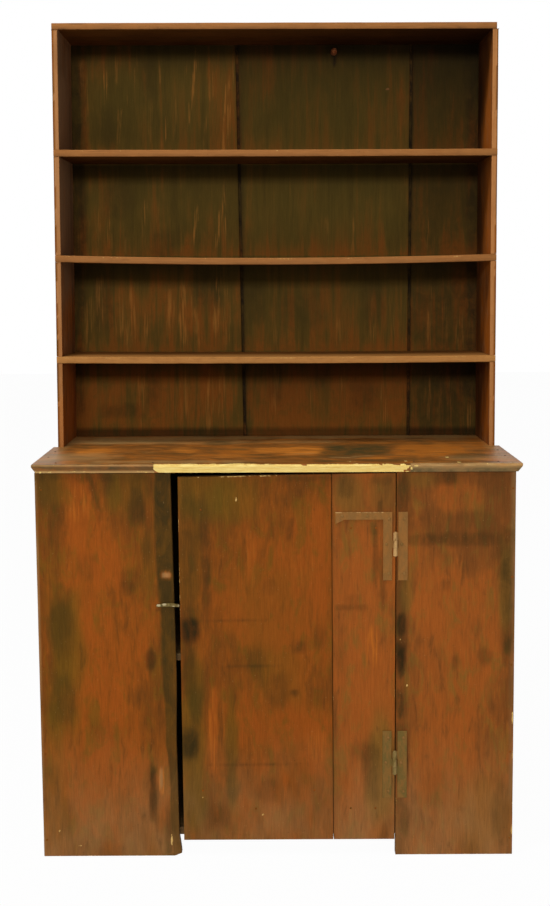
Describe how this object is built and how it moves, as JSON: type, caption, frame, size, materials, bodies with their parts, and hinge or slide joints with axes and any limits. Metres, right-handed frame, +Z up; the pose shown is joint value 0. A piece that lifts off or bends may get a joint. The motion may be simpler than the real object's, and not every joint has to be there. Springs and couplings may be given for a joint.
{
  "type": "step back cupboard",
  "caption": "Tall one-piece step back cupboard: an open rack of nailed shelves over a worktop and a deeper base with one boarded door on leaf hinges and a turn button.",
  "frame": {"origin": "on the floor, under the centre of the bounding box", "axes": "+Z up; the front with the door faces -Y and the back board faces +Y; +X is to the right seen from the front"},
  "size_m": [1.124, 0.5088, 1.9808],
  "materials": {
    "wood_rack": "worn brown paint, rubbed to wood on the edges",
    "wood_front": "worn red-brown paint with grey-green stains",
    "wood_worktop": "stained and scrubbed, front edge worn to bare wood",
    "wood_inside": "unpainted, darkened with age",
    "peg_wood": "dark red-brown, rubbed",
    "hinge_iron": "wrought iron painted over with the wood",
    "nail_iron": "dull, rusted"
  },
  "bodies": {
    "case": {"back_board_left": "wood_rack", "back_board_middle": "wood_rack", "back_board_nails": "nail_iron", "back_board_right": "wood_rack", "bottom_board": "wood_inside", "bottom_cleat_left": "wood_inside", "bottom_cleat_right": "wood_inside", "cleat_nails": "nail_iron", "front_stile_left": "wood_front", "front_stile_right": "wood_front", "hanging_peg": "peg_wood", "hinge_lower_pin": "hinge_iron", "hinge_lower_stile_leaf": "hinge_iron", "hinge_nails_stile": "nail_iron", "hinge_upper_pin": "hinge_iron", "hinge_upper_stile_leaf": "hinge_iron", "inner_shelf": "wood_inside", "inner_shelf_cleat_left": "wood_inside", "inner_shelf_cleat_right": "wood_inside", "shelf_lower": "wood_rack", "shelf_middle": "wood_rack", "shelf_nails": "nail_iron", "shelf_upper": "wood_rack", "side_board_left": "wood_rack", "side_board_right": "wood_rack", "side_front_board_left": "wood_front", "side_front_board_right": "wood_front", "stile_nails": "nail_iron", "top_board": "wood_rack", "top_board_nails": "nail_iron", "turn_button_nail": "nail_iron", "worktop": "wood_worktop", "worktop_cleat_left": "wood_inside", "worktop_cleat_right": "wood_inside", "worktop_nails": "nail_iron"},
    "door": {"door_board_wide": "wood_front", "door_board_narrow": "wood_front", "door_batten_upper": "wood_inside", "door_batten_lower": "wood_inside", "hinge_upper_door_leaf": "hinge_iron", "hinge_lower_door_leaf": "hinge_iron", "batten_nails": "nail_iron", "hinge_nails_door": "nail_iron"},
    "turn_button": {"turn_button": "hinge_iron"}
  },
  "joints": [
    {"name": "door_hinge", "type": "hinge", "parent": "case", "child": "door", "pos_m": [0.272, -0.2418, 0.4825], "axis": [0, 0, 1], "range_deg": [0, 175]},
    {"name": "turn_button_pivot", "type": "hinge", "parent": "case", "child": "turn_button", "pos_m": [-0.25116, -0.2387, 0.601], "axis": [0, 1, 0], "continuous": true}
  ]
}
